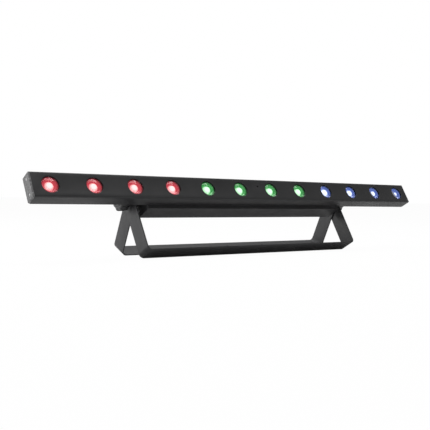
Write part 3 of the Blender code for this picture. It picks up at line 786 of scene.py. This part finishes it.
# Which bars each figure lights, and each bar's place in half widths and half heights.
SEGMENTS = {"0": "abcdef", "1": "bc"}
FLAT_BARS = {"a": (0, 1), "d": (0, -1)}
UPRIGHT_BARS = {"f": (1, 0.5), "b": (-1, 0.5), "e": (1, -0.5), "c": (-1, -0.5)}


def figure_bar(part, center_x, center_z, face):
    """One lozenge-ended bar of a figure, flat or upright."""
    flat = part in FLAT_BARS
    across, up = FLAT_BARS[part] if flat else UPRIGHT_BARS[part]
    x = center_x + across * FIGURE_WIDTH / 2
    z = center_z + up * FIGURE_HEIGHT / 2
    reach = (FIGURE_WIDTH if flat else FIGURE_HEIGHT / 2) / 2 - FIGURE_STROKE * 0.6
    half = FIGURE_STROKE / 2
    lozenge = [(-reach, 0.0), (-reach + half, -half), (reach - half, -half),
               (reach, 0.0), (reach - half, half), (-reach + half, half)]
    points = [(x + (a if flat else b), z + (b if flat else a)) for a, b in lozenge]
    return prism(points, face - FIGURE_THICKNESS, face, "Y")


def build_display():
    """Three lit figures on the display glass, read from behind the lamp."""
    middle = middle_of("display_window")
    face = local_box("display_window")[1].y + FIGURE_PROUD
    bars = [figure_bar(part, middle.x - (place - 1) * FIGURE_PITCH, middle.z, face)
            for place, figure in enumerate("001") for part in SEGMENTS[figure]]
    made = draw_mesh("display_figures", bars)
    settle(made, SEGMENT_LIGHT, "lamp")


# ---- pivots, knobs and yokes -----------------------------------------------------------------
def ring_piece(name, node, material, ease):
    """A spacer or washer about the pivot axis, as long and as wide as its CAD part."""
    low, high = local_box(node)
    section = [(low.x, PIVOT_HOLE), (low.x, high.z), (high.x, high.z), (high.x, PIVOT_HOLE)]
    made = draw_mesh(name, [turned(eased(section, ease, 3, True), facing((0, 0, 0), X), 72)])
    settle(made, material, "lamp", stands_for=[node])


# Height from the foot or depth below the top, share of the full radius, and lobe depth.
KNOB_FOOT = ((0.0, 0.56, 0.0), (0.0006, 0.61, 0.0), (0.0030, 0.63, 0.0), (0.0042, 0.70, 0.02),
             (0.0048, 0.84, 0.05), (0.0054, 0.93, 0.065), (0.0066, 0.985, 0.07),
             (0.0080, 1.0, 0.07))
KNOB_TOP = ((0.0036, 1.0, 0.07), (0.0018, 0.975, 0.07), (0.0007, 0.92, 0.065),
            (0.0001, 0.85, 0.055), (0.0, 0.78, 0.04), (0.0001, 0.60, 0.0), (0.0008, 0.57, 0.0),
            (0.0010, 0.54, 0.0))


def lobed_ring(height, reach, depth):
    """Outline of the grip: the radius swells at each finger lobe."""
    points = []
    for index in range(KNOB_SIDES):
        angle = 2 * math.pi * index / KNOB_SIDES
        radius = reach * (1 - depth * (1 - math.cos(KNOB_LOBES * angle)))
        points.append((radius * math.cos(angle), radius * math.sin(angle), height))
    return points


def build_knob(name, side):
    """A lobed grip with a blind bore for the stud, and a disc set in its end."""
    node = f"knob_{name}"
    low, high = local_box(node)
    length = high.x - low.x
    full = high.y
    foot = low.x if side > 0 else high.x
    stages = [*KNOB_FOOT, *((length - below, share, depth) for below, share, depth in KNOB_TOP)]
    rings = [lobed_ring(height, full * share, depth) for height, share, depth in stages]
    made = draw_mesh(f"{node}_grip", [loft(rings)])
    bore_end = length - KNOB_END_WALL
    bore = [(-SHORT_OVERRUN, 0.0), (-SHORT_OVERRUN, PIVOT_HOLE), (bore_end, PIVOT_HOLE),
            (bore_end, 0.0)]
    carve(made, [turned(bore, sides=48)])
    place = LAMP @ facing((foot, 0, 0), side * X)
    settle(made, KNOB_PLASTIC, node, place, [node], crisp=40.0)
    disc = [(length - 0.0012, 0.0), (length - 0.0012, full * 0.50), (length - 0.0004, full * 0.50),
            (length - 0.0002, full * 0.47), (length - 0.0002, 0.0)]
    made = draw_mesh(f"{node}_insert", [turned(eased(disc, 0.0002), sides=72)])
    settle(made, KNOB_PLASTIC, node, place)


def build_pivots():
    """On each side, from the housing outwards: a headed stud, a spacer, a washer and a knob."""
    for name, side in (("left", -1), ("right", 1)):
        low, high = local_box(f"pivot_stud_{name}")
        inner = low.x if side > 0 else high.x
        length = high.x - low.x
        shank = PIVOT_HOLE - HOLE_GAP
        line = [(0.0, 0.0), (0.0, high.z), (STUD_HEAD_LENGTH, high.z), (STUD_HEAD_LENGTH, shank),
                (length, shank), (length, 0.0)]
        made = draw_mesh(f"pivot_bolt_{name}", [turned(eased(line, STUD_EASE), sides=48)])
        settle(made, ZINC, "lamp", LAMP @ facing((inner, 0, 0), side * X),
               [f"pivot_stud_{name}"])
        ring_piece(f"spacer_{name}", f"friction_spacer_{name}", SPACER_RUBBER,
                   SPACER_EASE)
        ring_piece(f"washer_ring_{name}", f"washer_{name}", ZINC, SMALL_EASE)
        build_knob(name, side)


YOKE_TOP_DEGREES = (86, 80, 74, 67, 60, 52, 44, 35, 26, 17, 8, 0)


def yoke_stations(outer_x, radius, half):
    """Outer line of the bent strip, as (x, z, normal x, normal z, half width).

    It runs from the round top of the right limb through the bends to the top of the left limb.
    """
    stations = []
    for degrees in YOKE_TOP_DEGREES:
        angle = math.radians(degrees)
        stations.append((outer_x, half * math.sin(angle), 1.0, 0.0, half * math.cos(angle)))
    for step in range(YOKE_BEND_STEPS + 1):
        angle = math.pi / 2 * step / YOKE_BEND_STEPS
        stations.append((outer_x - YOKE_BEND * (1 - math.cos(angle)),
                         YOKE_BEND * (1 - math.sin(angle)) - radius,
                         math.cos(angle), -math.sin(angle), half))
    mirrored = [(-x, z, -nx, nz, wide) for x, z, nx, nz, wide in reversed(stations)]
    return stations + mirrored


def yoke_thickness():
    """One yoke lies inside the other, so their outer faces are a sheet and a gap apart."""
    front = local_box("front_yoke", yoke_frame("front_crossbar_face"))[1].x
    back = local_box("back_yoke", yoke_frame("back_crossbar_face"))[1].x
    return front - back - HOLE_GAP


def build_yoke(node, mount):
    """One strip bent into a U, with eased edges, round tops and soft-edged holes."""
    place = yoke_frame(mount)
    low, high = local_box(node, place)
    half, radius, outer_x = high.y, -low.z, high.x
    thick = yoke_thickness()
    rings = []
    for x, z, nx, nz, wide in yoke_stations(outer_x, radius, half):
        ease = min(YOKE_EDGE, wide * 0.45)
        section = eased(rectangle((-wide, 0.0), (wide, thick)), ease, 3, closed=True)
        rings.append([(x - nx * inward, across, z - nz * inward) for across, inward in section])
    made = draw_mesh(f"{node}_strip", [loft(rings)])
    pivot_hole = flared_hole(PIVOT_HOLE, SMALL_EASE, thick)
    clamp_hole = flared_hole(CLAMP_HOLE, CLAMP_HOLE_EASE, thick)
    holes = [turned(pivot_hole, facing((side * outer_x, 0, 0), -side * X), 40) for side in (-1, 1)]
    holes += [turned(clamp_hole, facing((x, 0, -radius), Z), 48)
              for x in (-CLAMP_SPACING, 0.0, CLAMP_SPACING)]
    carve(made, holes)
    settle(made, YOKE_PAINT, node, place, [node], crisp=30.0)


# ---- studio ----------------------------------------------------------------------------------
ROOM_LIGHT = 0.35
FLOOR_GLOW = 0.97
FLOOR_RADIUS = 60.0
FLOOR_SIDES = 64
WHITE = (1.0, 1.0, 1.0, 1.0)
LIT_PLACE = (0.0, 0.0, 0.08)


def soft_box(name, location, size, power):
    """A rectangular lamp aimed at the middle of the object."""
    data = bpy.data.lights.new(name, "AREA")
    data.shape = "RECTANGLE"
    data.size, data.size_y = size
    data.energy = power
    made = bpy.data.objects.new(name, data)
    bpy.context.scene.collection.objects.link(made)
    made.location = location
    made.rotation_mode = "QUATERNION"
    made.rotation_quaternion = (Vector(LIT_PLACE) - Vector(location)).to_track_quat("-Z", "Y")
    made.visible_camera = False


def build_room():
    """White to the camera, and a dimmer white as light."""
    world = bpy.data.worlds.new("studio")
    world.use_nodes = True
    bpy.context.scene.world = world
    tree = world.node_tree
    seen = tree.nodes["Background"]
    lit = add(tree, "ShaderNodeBackground")
    for background, strength in ((seen, 1.0), (lit, ROOM_LIGHT)):
        background.inputs["Color"].default_value = WHITE
        background.inputs["Strength"].default_value = strength
    seen_apart(tree, lit, seen, 1.0, "World Output")


def build_floor():
    """Pale paper that reads as nearly white right up to the horizon."""
    turns = [2 * math.pi * index / FLOOR_SIDES for index in range(FLOOR_SIDES)]
    rim = [(FLOOR_RADIUS * math.cos(a), FLOOR_RADIUS * math.sin(a), 0.0) for a in turns]
    floor = draw_mesh("studio_floor",
                      [lambda mesh: mesh.faces.new([mesh.verts.new(p) for p in rim])])
    paper, tree, shader = finish("paper_floor", Roughness=0.95, Specular_IOR_Level=0.0)
    tint = tones(tree, grain(tree, 3.0, 3.0),
                 [(0.3, (0.84, 0.84, 0.84)), (0.7, (0.87, 0.87, 0.87))])
    wire(tree, shader, Base_Color=tint)
    glow = add(tree, "ShaderNodeEmission")
    glow.inputs["Strength"].default_value = 1.0
    seen_apart(tree, shader, glow, FLOOR_GLOW, "Material Output")
    floor.data.materials.append(paper)


def build_studio():
    bpy.context.scene.view_settings.view_transform = "Standard"
    build_room()
    build_floor()
    soft_box("left_back_box", (-2.2, 1.5, 0.9), (2.4, 1.6), 36.0)
    soft_box("overhead_box", (0.1, 0.5, 2.6), (3.0, 2.0), 60.0)
    soft_box("front_fill", (-1.0, -2.6, 1.2), (1.2, 0.8), 8.0)


# Place from the middle of the bar's front face, angles in degrees and focal length in millimetres.
CAMERA_FROM_FACE = Vector((-0.9869, -1.125634, -0.021301))
CAMERA_HEADING = 37.94
CAMERA_DIP = 1.2835
CAMERA_ROLL = 0.856
CAMERA_LENS = 59.69
CAMERA_SENSOR = 36.0


def build_camera():
    """A camera that keeps its place relative to the bar's face."""
    data = bpy.data.cameras.new("camera")
    data.sensor_width = CAMERA_SENSOR
    data.lens = CAMERA_LENS
    data.clip_start, data.clip_end = 0.01, 200.0
    made = bpy.data.objects.new("camera", data)
    bpy.context.scene.collection.objects.link(made)
    turn = (Matrix.Rotation(math.radians(-CAMERA_HEADING), 4, "Z")
            @ Matrix.Rotation(math.radians(90.0 - CAMERA_DIP), 4, "X")
            @ Matrix.Rotation(math.radians(CAMERA_ROLL), 4, "Z"))
    face = LAMP @ Vector((0.0, local_box("front_channel")[0].y, 0.0))
    made.matrix_world = Matrix.Translation(face + CAMERA_FROM_FACE) @ turn
    bpy.context.scene.camera = made


# ---- assembly --------------------------------------------------------------------------------
build_camera()
build_studio()
build_channel()
build_rear_cover()
build_end_caps()
build_lenses()
build_housing()
build_sockets()
build_buttons()
build_display()
build_pivots()
build_yoke("front_yoke", "front_crossbar_face")
build_yoke("back_yoke", "back_crossbar_face")
refinish(["led_board", "power_supply_board", "control_board"], BOARD)
refinish(["heat_sink_rail"], EXTRUSION)
refinish(["lens_tray", "transformer", "capacitor"], SOCKET_PLASTIC)
refinish([f"{kind}_pin_{number}" for kind in ("power", "data") for number in (1, 2, 3)], BRASS)
refinish(["sensor_window"], SENSOR_GLASS)
refinish(["display_window"], DISPLAY_GLASS)
